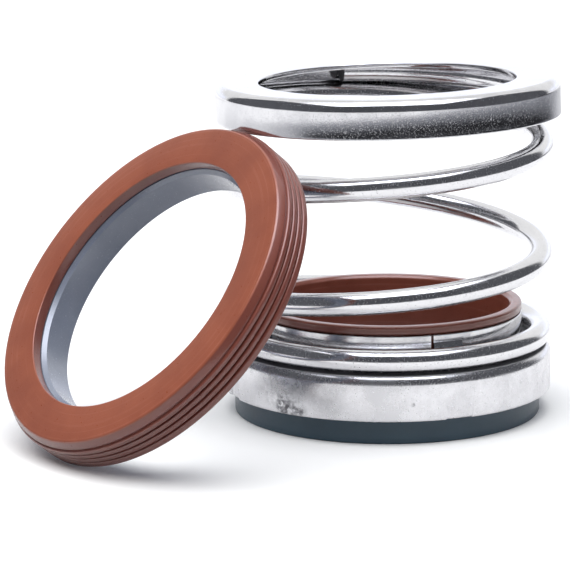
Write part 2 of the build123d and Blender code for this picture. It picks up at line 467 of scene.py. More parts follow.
@dataclass(frozen=True)
class PressedSteel(Finish):
    """Bright stainless sheet with cloudy smudges, dull pits, a faint ripple and darker, flecked marks.

    Where a shade height is given, the sheet is painted dark outside one range of radii and above
    one of heights: painted shade in the crevice under the coil's wire.
    """

    bright: Colour = (0.75, 0.75, 0.765)
    smudged: Colour = (0.64, 0.64, 0.66)
    # Dark colour of pits and marks, and of the painted shade under the coil's wire
    wear_and_shade: Colour = (0.10, 0.10, 0.11)
    smudge_size: float = 9.0
    grain_size: float = 0.35
    grain_depth: float = 0.004
    fleck_size: float = 1.5
    ripple_size: float = 14.0
    ripple_depth: float = 0.01
    roughness: Span = (0.08, 0.16)
    pit_roughness: float = 0.30
    marks: tuple[Mark, ...] = ()
    # Painted shade: beyond these radii and above these heights the sheet is darkened by this share
    shade_outside: Span = (29.0, 30.0)
    shade_above: Span | None = None
    shade_strength: float = 0.9

    def material(self, name: str, axis: Matrix) -> Material:
        """Make the sheet's finish.

        Args:
            name: The material's name.
            axis: The piece's own axis, in millimetres.

        Returns:
            The material.
        """
        look = Shading(name)
        smudges = look.noise(self.smudge_size, 6, 0.62)
        grain = look.noise(self.grain_size, 3, 0.6)
        flecks = look.level(look.noise(self.fleck_size, 5, 0.66), (0.40, 0.62), (0.0, 1.0))
        colour = look.mix(look.level(smudges, (0.42, 0.62), (0.0, 1.0)), self.smudged, self.bright)
        wear_and_shade = look.level(grain, (0.20, 0.26), (0.6, 0.0))
        for mark in self.marks:
            inside = look.level(look.near(mark.centre, mark.reach), (0.0, 0.5), (0.0, mark.strength))
            wear_and_shade = look.maths("MAXIMUM", wear_and_shade, look.maths("MULTIPLY", inside, flecks))
        # Painted shade in the crevice where the coil's wire sits on the shoulder
        if self.shade_above:
            place = look.turned_place(axis)
            outside, above = ((low * MM, high * MM) for low, high in (self.shade_outside, self.shade_above))
            outer = look.level(look.part("X", place), outside, (0.0, self.shade_strength))
            upper = look.level(look.part("Y", place), above, (0.0, 1.0))
            wear_and_shade = look.maths("MAXIMUM", wear_and_shade, look.maths("MULTIPLY", outer, upper))
        pits = look.level(grain, (0.36, 0.48), (self.pit_roughness, 0.0))
        cloudy = look.level(smudges, (0.35, 0.65), (self.roughness[1], self.roughness[0]))
        ripple = look.bump(look.noise(self.ripple_size, 1), self.ripple_depth)
        return look.finish(
            base_color=look.mix(wear_and_shade, colour, self.wear_and_shade),
            metallic=1.0,
            roughness=look.maths("MAXIMUM", look.maths("MAXIMUM", cloudy, pits), wear_and_shade),
            normal=look.bump(grain, self.grain_depth, ripple),
        )


@dataclass(frozen=True)
class DrawnWire(Finish):
    """Bright drawn wire with fine marks along it and a skin speckled with dull pits."""

    bright: Colour = (0.76, 0.76, 0.775)
    dull: Colour = (0.64, 0.64, 0.66)
    mark_length: float = 40.0
    mark_width: float = 0.3
    mark_depth: float = 0.003
    speck_size: float = 0.33
    speck_depth: float = 0.005
    speck_roughness: float = 0.28
    cloud_size: float = 7.0
    roughness: Span = (0.08, 0.2)

    def material(self, name: str, axis: Matrix) -> Material:
        """Make the wire's finish, which follows the wire and not an axis.

        Args:
            name: The material's name.
            axis: The piece's own axis, in millimetres; not used.

        Returns:
            The material.
        """
        look = Shading(name, Space.WIRE)
        specks = look.noise(self.speck_size, 3, 0.65)
        marks = look.noise(self.mark_width, 3, 0.6, look.stretch((self.mark_width / self.mark_length, 1, 1)))
        clouds = look.noise(self.cloud_size, 4, 0.6)
        pits = look.level(specks, (0.36, 0.50), (self.speck_roughness, 0.0))
        return look.finish(
            base_color=look.mix(look.level(specks, (0.34, 0.46), (0.0, 1.0)), self.dull, self.bright),
            metallic=1.0,
            roughness=look.maths("MAXIMUM", look.level(clouds, (0.35, 0.65), self.roughness), pits),
            normal=look.bump(specks, self.speck_depth, look.bump(marks, self.mark_depth)),
        )


@dataclass(frozen=True)
class CutSteel(Finish):
    """Dark, dull end that shears leave on wire."""

    body: Colour = (0.16, 0.16, 0.17)
    torn: Colour = (0.09, 0.09, 0.10)
    grain_size: float = 0.5
    grain_depth: float = 0.03
    metallic: float = 0.6
    roughness: float = 0.6

    def material(self, name: str, axis: Matrix) -> Material:
        """Make the cut end's finish.

        Args:
            name: The material's name.
            axis: The piece's own axis, in millimetres; not used.

        Returns:
            The material.
        """
        look = Shading(name)
        grain = look.noise(self.grain_size, 4, 0.6)
        return look.finish(
            base_color=look.mix(look.level(grain, (0.35, 0.65), (0.0, 1.0)), self.body, self.torn),
            metallic=self.metallic,
            roughness=self.roughness,
            normal=look.bump(grain, self.grain_depth),
        )


@dataclass(frozen=True)
class MouldedRubber(Finish):
    """Red-brown rubber from a mould: glossy, faintly blotched, with fine tool marks and pale rubs round it.

    Where it has a side shade colour, its sides below the face at its own zero height are painted
    that much darker: painted shade on sides turned from the light.
    """

    body: Colour = (0.32, 0.088, 0.044)
    rubbed: Colour = (0.44, 0.165, 0.115)
    dark: Colour = (0.265, 0.070, 0.036)
    # Painted shade: a darker colour for the sides below the face, where less light falls
    side_shade: Colour | None = None
    side_shade_from: float = 0.3
    side_shade_share: float = 0.8
    blotch_size: float = 12.0
    grain_size: float = 0.5
    grain_depth: float = 0.012
    mark_size: float = 0.7
    mark_depth: float = 0.012
    roughness: Span = (0.27, 0.42)
    gloss: float = 0.5
    coat: float = 0.0
    coat_roughness: float = 0.12

    def material(self, name: str, axis: Matrix) -> Material:
        """Make the rubber's finish.

        Args:
            name: The material's name.
            axis: The piece's own axis, in millimetres.

        Returns:
            The material.
        """
        look = Shading(name)
        place = look.turned_place(axis)
        blotches = look.noise(self.blotch_size, 5, 0.6)
        grain = look.noise(self.grain_size, 3, 0.6)
        marks = look.noise(self.mark_size, 3, 0.65, place)
        streaks = look.level(marks, (0.53, 0.68), (0.0, 0.8))
        rubs = look.maths("MULTIPLY", streaks, look.level(blotches, (0.42, 0.6), (0.2, 1.0)))
        colour = look.mix(look.level(blotches, (0.35, 0.6), (0.0, 1.0)), self.dark, self.body)
        colour = look.mix(rubs, colour, self.rubbed)
        # Painted shade: the sides below the face are mixed towards the darker colour
        if self.side_shade:
            depth = look.part("Y", place)
            sides = look.level(depth, (-self.side_shade_from * MM, 0.0), (self.side_shade_share, 0.0))
            colour = look.mix(sides, colour, self.side_shade)
        return look.finish(
            base_color=colour,
            roughness=look.level(grain, (0.3, 0.7), self.roughness),
            specular_ior_level=self.gloss,
            coat_weight=self.coat,
            coat_roughness=self.coat_roughness,
            normal=look.bump(grain, self.grain_depth, look.bump(marks, self.mark_depth)),
        )


@dataclass(frozen=True)
class SatinCeramic(Finish):
    """Ground ceramic or carbide: dense, satin, with fine grinding marks round it."""

    body: Colour
    pale: Colour
    roughness: Span = (0.28, 0.42)
    blotch_size: float = 8.0
    grain_size: float = 0.3
    grain_depth: float = 0.003
    mark_size: float = 0.8
    mark_depth: float = 0.004
    gloss: float = 0.6

    def material(self, name: str, axis: Matrix) -> Material:
        """Make the ceramic's finish.

        Args:
            name: The material's name.
            axis: The piece's own axis, in millimetres.

        Returns:
            The material.
        """
        look = Shading(name)
        blotches = look.noise(self.blotch_size, 5, 0.6)
        grain = look.noise(self.grain_size, 2, 0.6)
        marks = look.noise(self.mark_size, 3, 0.6, look.turned_place(axis))
        return look.finish(
            base_color=look.mix(look.level(blotches, (0.35, 0.7), (0.0, 1.0)), self.body, self.pale),
            roughness=look.level(grain, (0.3, 0.7), self.roughness),
            specular_ior_level=self.gloss,
            normal=look.bump(grain, self.grain_depth, look.bump(marks, self.mark_depth)),
        )


HOLDER_STEEL = PressedSteel(grain_size=0.28, grain_depth=0.002, roughness=(0.05, 0.09), pit_roughness=0.24)
SHELL_STEEL = PressedSteel(
    bright=(0.74, 0.74, 0.76),
    smudged=(0.67, 0.67, 0.69),
    smudge_size=6.0,
    roughness=(0.18, 0.30),
    # Painted shade on the shoulder's outer part and corner, under the coil's wire
    shade_above=(13.2, 13.5),
    # Darker, flecked places over the skirt's left and along its lower edge there, and smaller or fainter ones
    # across the front
    marks=(
        Mark((-19.1, -26.0, 6.8), 3.6, 0.75),
        Mark((-17.0, -27.4, 5.6), 2.6, 0.7),
        Mark((-20.0, -25.0, 10.2), 7.0, 0.35),
        Mark((-11.6, -30.1, 9.5), 4.5, 0.2),
        Mark((4.9, -31.9, 8.1), 0.55, 0.6),
        Mark((15.2, -28.4, 10.4), 3.0, 0.15),
    ),
)
BAND_STEEL = PressedSteel(
    bright=(0.66, 0.66, 0.67),
    smudged=(0.54, 0.54, 0.56),
    smudge_size=5.0,
    roughness=(0.12, 0.2),
    pit_roughness=0.22,
)
WIRE = DrawnWire()
CUT_END = CutSteel()
# Darker than the seat's rubber: painted shade on the bellows, whose lip wall faces the dark front
SHADED_BELLOWS_RUBBER = MouldedRubber(
    body=(0.225, 0.062, 0.040),
    rubbed=(0.30, 0.115, 0.085),
    dark=(0.195, 0.053, 0.034),
    gloss=0.4,
    coat=0.5,
)
# Its side colour paints shade on the cup's ribbed sides
SEAT_RUBBER = MouldedRubber(gloss=0.6, coat=0.4, side_shade=(0.165, 0.046, 0.036))
CARBIDE = SatinCeramic(body=(0.020, 0.056, 0.088), pale=(0.027, 0.068, 0.10))
SEAT_CERAMIC = SatinCeramic(
    body=(0.19, 0.22, 0.29), pale=(0.23, 0.26, 0.33), roughness=(0.16, 0.28), gloss=1.0
)


# ---------------------------------------------------------------------------------------------
# The seal
# ---------------------------------------------------------------------------------------------


@dataclass
class Piece:
    """A visible piece: its name, its slot, its finish and the CAD node that it stands for."""

    name: str
    slot: str
    finish: Finish
    node: str
    sharp_angle: float = 35.0

    def make(self, bm: BMesh, place: Matrix = Matrix.Identity(4)) -> Object:
        """Finish a bmesh in millimetres as this piece.

        Args:
            bm: The bmesh; it is freed.
            place: Where the mesh goes, in millimetres.

        Returns:
            The object, at the origin, with its finish.
        """
        bmesh.ops.transform(bm, matrix=Matrix.Scale(MM, 4) @ place, verts=bm.verts)
        for face in bm.faces:
            face.smooth = True
        obj = plain_object(bm, self.name)
        obj.data.set_sharp_from_angle(angle=math.radians(self.sharp_angle))
        obj.data.materials.append(self.finish.material(self.name, place))
        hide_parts(self.node)
        log.info("%s: %d faces", self.name, len(obj.data.polygons))
        return obj


@dataclass
class Head:
    """The rotary head's main radii and levels, and where its drive dents and lugs lie round it."""

    shaft_radius: float = 24.0
    free_length: float = 65.4
    body_radius: float = 30.9
    shoulder_top: float = 13.8
    band_radius: float = 26.45
    band_bottom: float = 13.0
    band_top: float = 19.9
    gap: float = 0.05
    dent_azimuths: tuple[float, ...] = (-64.5, 23.0, 115.5, 203.0)
    lug_count: int = 4
    lug_azimuth: float = -63.95

    @property
    def lug_azimuths(self) -> list[float]:
        """Where the band's lugs lie, and the retainer's slots for them."""
        return [self.lug_azimuth + 360 / self.lug_count * i for i in range(self.lug_count)]


@dataclass
class SpringHolder:
    """Pressed ring of L section that centres the coil's upper end, tipped on its ground face.

    Its wall draws in below the corner and bells out to its rim. The corner's round stops a hair
    short of the wall's first point.
    """

    head: Head
    radius: float = 33.53
    bore_radius: float = 25.0
    sheet: float = 1.0
    skirt: float = 7.25
    corner: float = 2.0
    inner_corner: float = 0.55
    edge: float = 0.25
    sheared: float = 0.15
    tilt: float = 1.33
    draw_in: float = 0.12
    bell: float = 0.2
    wall_start: float = 0.03
    wall_steps: int = 8
    full_round: float = 0.999

    @property
    def place(self) -> Matrix:
        """Tip the holder about the middle of its top.

        Returns:
            Where the holder goes.
        """
        top = Vector((0, 0, self.head.free_length))
        tip = Matrix.Rotation(math.radians(-self.tilt), 4, "Y")
        return Matrix.Translation(top) @ tip @ Matrix.Translation(-top)

    def build(self) -> Object:
        """Turn the holder and tip it.

        Returns:
            The holder.
        """
        top = self.head.free_length
        bottom = top - self.skirt
        inner = self.radius - self.sheet
        drop = self.skirt - self.corner
        shares = [0.0, self.wall_start, *(i / self.wall_steps for i in range(1, self.wall_steps))]
        wall = [(self.radius - self.draw_in * share + self.bell * share**2, drop * share) for share in shares]
        ring = turned(
            [
                (inner, bottom, self.sheared),
                (self.radius - self.draw_in + self.bell, bottom, self.edge),
                *((radius, top - self.corner - depth, 0) for radius, depth in reversed(wall)),
                (self.radius, top, self.corner * self.full_round),
                (self.bore_radius, top, self.edge),
                (self.bore_radius, top - self.sheet, self.sheared),
                (inner, top - self.sheet, self.inner_corner),
            ],
            rounding=16,
        )
        piece = Piece("holder_ring", "pressed_steel", HOLDER_STEEL, "spring_holder")
        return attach(piece.make(ring, self.place), "holder")


@dataclass
class Coil:
    """Right-hand coil of round wire, both ends closed and the upper one ground."""

    head: Head
    holder: SpringHolder
    radius: float = 30.13
    wire: float = 4.4
    start: float = -210.0
    opening: Span = (-30.0, 200.0)
    closing: Span = (733.0, 853.0)
    end: float = 1188.0
    touch: float = 0.06
    lean: float = 0.86
    lean_azimuth: float = 195.0
    lean_fade: float = 0.15
    grind: float = 1.15
    step: float = 3.0
    round_segments: int = 32
    travel: float = 22.0
    weld: float = 1e-5

    @property
    def bottom(self) -> float:
        """Where the wire lies on the retainer's shoulder."""
        return self.head.shoulder_top + self.head.gap

    @property
    def top(self) -> float:
        """Where the ground end meets the holder's flange."""
        return self.head.free_length - self.holder.sheet - self.head.gap

    @staticmethod
    def ramp_sum(angle: float, stretch: Span) -> float:
        """Add up a pitch that grows from 0 to 1 over a stretch of angles, and stays 1 beyond it.

        Args:
            angle: The angle to add up to.
            stretch: Where the pitch starts to grow, and where it is full.

        Returns:
            The sum, in degrees.
        """
        start, end = stretch
        if angle <= start:
            return 0.0
        if angle < end:
            return (angle - start) ** 2 / (2 * (end - start))
        return angle - (start + end) / 2

    def height(self, angle: float) -> float:
        """Find the wire's centre along a coil whose upper turns are closed and whose open ones lean.

        Args:
            angle: The angle along the coil.

        Returns:
            The centre's height.
        """
        first = self.bottom + self.wire / 2
        last = self.top - self.wire / 2 + self.grind
        closed_rise = (self.wire + self.touch) / 360
        closed_sum = self.ramp_sum(self.end, self.closing)
        open_sum = self.ramp_sum(self.end, self.opening) - closed_sum
        open_rise = (last - first - closed_rise * closed_sum) / open_sum
        risen = self.ramp_sum(angle, self.closing)
        height = first + open_rise * (self.ramp_sum(angle, self.opening) - risen) + closed_rise * risen
        share = (angle - self.opening[0]) / (self.closing[1] - self.opening[0])
        fade = max(0.0, min(share, 1 - share, self.lean_fade)) / self.lean_fade
        lean = self.lean * math.sin(fade * math.pi / 2) ** 2
        return height + lean * math.cos(math.radians(angle - self.lean_azimuth))

    def place(self, angle: float) -> Matrix:
        """Find the wire's cross-section: X outwards, Z up and Y along the wire.

        Args:
            angle: The angle along the coil.

        Returns:
            Where the cross-section lies.
        """
        rise = (self.height(angle + 1) - self.height(angle - 1)) / math.radians(2)
        return (
            Matrix.Rotation(math.radians(angle), 4, "Z")
            @ Matrix.Translation((self.radius, 0, self.height(angle)))
            @ Matrix.Rotation(math.atan2(rise, self.radius), 4, "X")
        )

    def unroll(self, verts: list[bmesh.types.BMVert], layer: bmesh.types.BMLayerItem, angle: float) -> None:
        """Note where points of one cross-section lie on the straightened wire.

        Args:
            verts: The points.
            layer: The layer that takes length along the wire, radial and upward offsets.
            angle: The cross-section's angle along the coil.
        """
        back = self.place(angle).inverted()
        for vert in verts:
            across = back @ vert.co
            vert[layer] = Vector((math.radians(angle) * self.radius, across.x, across.z)) * MM

    def build(self) -> Object:
        """Sweep the wire's circle along the coil, and grind its upper end.

        Returns:
            The coil.
        """
        bm = bmesh.new()
        bmesh.ops.create_circle(
            bm,
            cap_ends=True,
            segments=self.round_segments,
            radius=self.wire / 2,
            matrix=self.place(self.start) @ Matrix.Rotation(math.radians(90), 4, "X"),
        )
        layer = bm.verts.layers.float_vector.new(Space.WIRE.value)
        self.unroll(bm.verts[:], layer, self.start)
        steps = round((self.end - self.start) / self.step)
        angles = [self.start + (self.end - self.start) * i / steps for i in range(steps + 1)]
        first = front = bm.faces[:]
        for before, after in zip(angles, angles[1:]):
            moved = bmesh.ops.extrude_face_region(bm, geom=front)["geom"]
            verts = [e for e in moved if isinstance(e, bmesh.types.BMVert)]
            bmesh.ops.transform(bm, matrix=self.place(after) @ self.place(before).inverted(), verts=verts)
            self.unroll(verts, layer, after)
            if before != self.start:
                bmesh.ops.delete(bm, geom=[f for f in front if f.is_valid], context="FACES_ONLY")
            front = [e for e in moved if isinstance(e, bmesh.types.BMFace)]
        for face in (*first, *front):
            face.material_index = 1
        bmesh.ops.recalc_face_normals(bm, faces=bm.faces)
        ground = self.holder.place @ Matrix.Translation((0, 0, self.top))
        bmesh.ops.transform(bm, matrix=ground.inverted(), verts=bm.verts)
        cut = bmesh.ops.bisect_plane(
            bm,
            geom=bm.verts[:] + bm.edges[:] + bm.faces[:],
            dist=self.weld,
            plane_co=(0, 0, 0),
            plane_no=(0, 0, 1),
            clear_outer=True,
        )["geom_cut"]
        bmesh.ops.holes_fill(bm, edges=[e for e in cut if isinstance(e, bmesh.types.BMEdge)], sides=0)
        bmesh.ops.transform(bm, matrix=ground, verts=bm.verts)
        coil = Piece("coil_wire", "spring_steel", WIRE, "coil_spring").make(bm)
        coil.data.materials.append(CUT_END.material("coil_cut", Matrix.Identity(4)))
        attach(coil, "holder")
        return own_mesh(coil)


@dataclass
class Retainer:
    """Pressed shell over the face ring, dented at its edge and slotted at its shoulder.

    A dent slopes in gently on its near side, the one with the lower azimuth, and sharply on its far
    one. A hair is how far off a point may lie and still count as inside.
    """

    head: Head
    sheet: float = 1.1
    room: float = 0.23
    corner: float = 2.2
    inner_corner: float = 1.55
    edge: float = 0.5
    sheared: float = 0.15
    skirt: float = 9.1
    slide: float = 0.4
    dent_width: float = 4.8
    dent_depth: float = 0.45
    dent_height: float = 4.8
    dent_near_side: float = 0.6
    dent_far_side: float = 0.2
    slot_width: float = 6.7
    slot_depth: float = 1.05
    hair: float = 1e-3
    weld: float = 1e-4

    def build(self) -> Object:
        """Turn the shell, press its dents in and cut its slots.

        Returns:
            The shell.
        """
        top = self.head.shoulder_top
        bore = self.head.body_radius + self.room
        radius = bore + self.sheet
        bottom = top - self.skirt
        shoulder_bore = self.head.band_radius + self.slide
        shell = turned(
            [
                (bore, bottom, 0),
                (radius, bottom, self.edge),
                (radius, top, self.corner),
                (shoulder_bore, top, self.sheared),
                (shoulder_bore, top - self.sheet, 0),
                (bore, top - self.sheet, self.inner_corner),
            ],
            steps=360,
            rounding=8,
        )
        for azimuth in self.head.dent_azimuths:
            self.press_dent(shell, azimuth, radius, bottom)
        shell = cut_round(
            shell,
            self.head.lug_azimuths,
            angle_of(self.slot_width, self.head.band_radius),
            radii=(shoulder_bore - CUT_MARGIN, shoulder_bore + self.slot_depth),
            heights=(top - self.sheet - CUT_MARGIN, top + CUT_MARGIN),
        )
        piece = Piece("retainer_shell", "pressed_steel", SHELL_STEEL, "retainer")
        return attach(piece.make(shell), "face_unit")

    def press_dent(self, shell: BMesh, azimuth: float, radius: float, bottom: float) -> None:
        """Push the skirt's lower edge inwards over a dent's width.

        Args:
            shell: The shell.
            azimuth: The dent's middle.
            radius: The skirt's outer radius.
            bottom: The skirt's lower edge.
        """
        half = angle_of(self.dent_width, radius) / 2
        near_side = angle_of(self.dent_near_side, radius)
        far_side = angle_of(self.dent_far_side, radius)
        reach = half + 3 * near_side
        for offset in (-half - near_side, -half, half, half + far_side):
            across = math.radians(azimuth + offset + 90)
            bmesh.ops.bisect_plane(
                shell,
                geom=[
                    *(f for f in shell.faces if self.by_dent(f.calc_center_median(), azimuth, reach, bottom)),
                    *(e for e in shell.edges if self.by_dent(e.verts[0].co, azimuth, reach, bottom)),
                    *(v for v in shell.verts if self.by_dent(v.co, azimuth, reach, bottom)),
                ],
                dist=self.weld,
                plane_co=(0, 0, 0),
                plane_no=(math.cos(across), math.sin(across), 0),
            )
        for vert in shell.verts:
            if not self.by_dent(vert.co, azimuth, half + near_side, bottom):
                continue
            turn = self.turn_from(vert.co, azimuth)
            near = smooth_step((turn + half + near_side) / near_side)
            far = smooth_step((half + far_side - turn) / far_side)
            rise = 1 - (vert.co.z - bottom) / self.dent_height
            push = self.dent_depth * near * far * max(0.0, rise)
            flat = Vector((vert.co.x, vert.co.y, 0))
            vert.co -= flat.normalized() * push

    @staticmethod
    def turn_from(co: Vector, azimuth: float) -> float:
        """The angle from an azimuth to a point, from -180 to 180."""
        return (math.degrees(math.atan2(co.y, co.x)) - azimuth + 180) % 360 - 180

    def by_dent(self, co: Vector, azimuth: float, reach: float, bottom: float) -> bool:
        """Whether a point of the skirt lies by a dent."""
        top = bottom + self.dent_height + self.hair
        return abs(self.turn_from(co, azimuth)) < reach + self.hair and co.z < top


@dataclass
class DriveBand:
    """Band on the bellows' tail, open at one seam, with lugs bent out into the retainer's slots."""

    head: Head
    sheet: float = 0.8
    sheared: float = 0.15
    lug_width: float = 6.1
    lug_relief: float = 0.1
    lug_flare: float = 1.05
    lug_fold: float = 1.4
    lug_reach: float = 2.1
    lug_straight: float = 2.5
    lug_bend: float = 2.0
    seam: float = 0.5

    def build(self) -> Object:
        """Turn the band up to its seam, cut its windows and bend its lugs out.

        Returns:
            The band.
        """
        head = self.head
        outer, inner = head.band_radius, head.band_radius - self.sheet
        lug_outer = outer + self.lug_flare
        lug_bottom = head.shoulder_top - self.lug_reach
        fold = head.band_top - self.lug_fold
        lug_angle = angle_of(self.lug_width, outer)
        seam_angle = angle_of(self.seam, outer)
        seam_azimuth = head.lug_azimuth - (lug_angle + seam_angle) / 2
        band = stretch_of_turn(
            seam_azimuth + 180,
            360 - seam_angle,
            [
                (inner, head.band_bottom, 0),
                (outer, head.band_bottom, 0),
                (outer, head.band_top, self.sheared),
                (inner, head.band_top, self.sheared),
            ],
            steps=356,
        )
        band = cut_round(
            band,
            head.lug_azimuths,
            lug_angle,
            radii=(inner - CUT_MARGIN, outer + CUT_MARGIN),
            heights=(head.band_bottom - CUT_MARGIN, fold),
        )
        lug = [
            (inner, fold, 0),
            (outer, fold, 0),
            (lug_outer, lug_bottom + self.lug_straight, self.lug_bend),
            (lug_outer, lug_bottom, self.sheared),
            (lug_outer - self.sheet, lug_bottom, self.sheared),
            (lug_outer - self.sheet, lug_bottom + self.lug_straight, self.lug_bend),
        ]
        lugs = [stretch_of_turn(azimuth, lug_angle - self.lug_relief, lug) for azimuth in head.lug_azimuths]
        whole = joined(band, *lugs)
        piece = Piece("clamp_band", "pressed_steel", BAND_STEEL, "drive_band")
        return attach(piece.make(whole), "band")


@dataclass
class PrimaryRing:
    """Carbide face ring under the retainer, its nose showing below the shell."""

    head: Head
    bore_radius: float = 25.2
    shoulder: float = 0.85
    nose_height: float = 4.9
    nose_edge: float = 0.3
    body_height: float = 4.1
    boss_radius: float = 28.6
    boss_height: float = 1.2
    pocket_radius: float = 27.15
    pocket_floor: float = 5.575
    notch_width: float = 5.4
    notch_depth: float = 0.75

    def build(self) -> Object:
        """Turn the ring and cut its drive notches.

        Returns:
            The ring.
        """
        outer = self.head.body_radius
        nose = outer - self.shoulder
        body_top = self.nose_height + self.body_height
        ring = turned(
            [
                (self.bore_radius, 0, self.nose_edge / 2),
                (nose, 0, self.nose_edge),
                (nose, self.nose_height, 0),
                (outer, self.nose_height, 0),
                (outer, body_top, 0),
                (self.boss_radius, body_top, 0),
                (self.boss_radius, body_top + self.boss_height, 0),
                (self.pocket_radius, body_top + self.boss_height, 0),
                (self.pocket_radius, self.pocket_floor, 0),
                (self.bore_radius, self.pocket_floor, 0),
            ]
        )
        ring = cut_round(
            ring,
            self.head.dent_azimuths,
            angle_of(self.notch_width, outer),
            radii=(outer - self.notch_depth, outer + CUT_MARGIN),
            heights=(self.nose_height, body_top + CUT_MARGIN),
        )
        piece = Piece("face_ring", "carbide", CARBIDE, "primary_ring")
        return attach(piece.make(ring), "face_unit")


@dataclass
class Bellows:
    """Rubber bellows: lip, tail on the shaft, one fold, and a head over the ring's boss."""

    head: Head
    tail_wall: float = 1.6
    tail_taper: float = 0.6
    fold_wall: float = 1.2
    fold_opening: float = 0.65
    fold_centre: float = 8.0
    head_bottom: float = 10.25
    head_top: float = 11.4
    skirt_bore: float = 28.65
    skirt_bottom: float = 9.05
    lip_overhang: float = 0.85
    lip_height: float = 1.65
    lip_gap: float = 0.2
    lip_mouth: float = 0.6
    lip_round: float = 0.45
    edge: float = 0.3
    root: float = 0.2
    full_round: float = 0.48

    def build(self) -> Object:
        """Turn the whole section in one piece, from the fold round the head's skirt to the mouth.

        Returns:
            The bellows.
        """
        shaft = self.head.shaft_radius
        tail = shaft + self.tail_wall
        lip = tail + self.lip_overhang
        lip_bottom = self.head.band_top + self.lip_gap
        lip_top = lip_bottom + self.lip_height
        inner = shaft + self.fold_wall
        outer = inner + self.fold_opening
        end_radius = (outer + self.fold_wall - shaft) / 2
        fold_bottom = self.fold_centre - end_radius
        bellows = turned(
            [
                (shaft, fold_bottom, 2 * end_radius * self.full_round),
                (outer + self.fold_wall, fold_bottom, 2 * end_radius * self.full_round),
                (outer + self.fold_wall, self.head_bottom, 0),
                (self.skirt_bore, self.head_bottom, 0),
                (self.skirt_bore, self.skirt_bottom, 0),
                (self.head.body_radius, self.skirt_bottom, 0),
                (self.head.body_radius, self.head_top, self.edge),
                (outer, self.head_top, self.edge),
                (outer, self.fold_centre - self.fold_opening / 2, self.fold_opening * self.full_round),
                (inner, self.fold_centre - self.fold_opening / 2, self.fold_opening * self.full_round),
                (inner, self.head_top + self.tail_taper, 0),
                (tail, self.head_top + 2 * self.tail_taper, 0),
                (tail, lip_bottom, self.root),
                (lip, lip_bottom, self.edge),
                (lip, lip_top, self.lip_round),
                (shaft + self.lip_mouth, lip_top, self.root),
                (shaft, lip_top - self.lip_mouth, self.root),
            ],
            rounding=10,
        )
        obj = Piece("bellows_rubber", "elastomer", SHADED_BELLOWS_RUBBER, "bellows").make(bellows)
        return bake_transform(obj)


